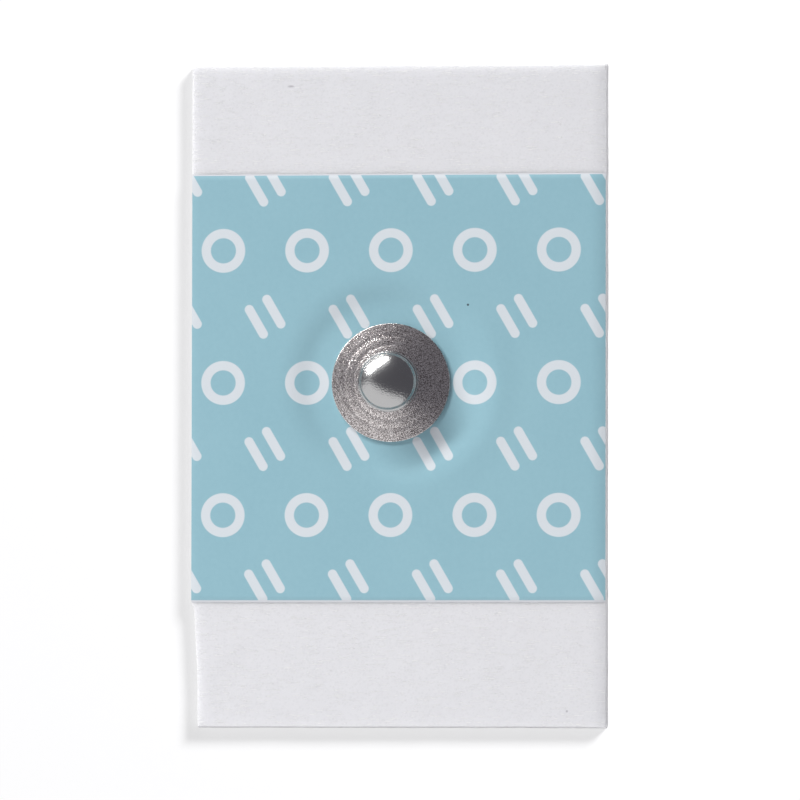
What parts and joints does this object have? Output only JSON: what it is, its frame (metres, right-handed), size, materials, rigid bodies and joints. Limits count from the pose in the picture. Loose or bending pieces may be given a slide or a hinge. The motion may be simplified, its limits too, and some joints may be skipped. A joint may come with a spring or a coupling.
{
  "type": "ecg electrode",
  "caption": "Disposable foam snap electrode: a rectangular foam backing with a printed film label that carries a metal snap stud over a coated sensor and gel pad.",
  "frame": {"origin": "the snap stud's axis at the skin side, on the surface that the electrode lies on", "axes": "+Z out of the snap stud, away from the skin; +Y along the foam's long side, away from the strip that is narrower at one edge"},
  "size_m": [0.0278, 0.0441, 0.0038],
  "materials": {
    "foam": "closed-cell polyethylene foam, fine pores",
    "label_film": "printed polyester film, satin",
    "plated_metal": "nickel plate, stippled flange and smooth head",
    "coated_sensor": "silver and silver chloride coat, dull grey",
    "hydrogel": "clear wet hydrogel"
  },
  "bodies": {
    "root": {"foam_backing": "foam", "printed_label": "label_film", "snap_stud": "plated_metal", "sensor_eyelet": "coated_sensor", "gel_pad": "hydrogel"}
  },
  "joints": []
}
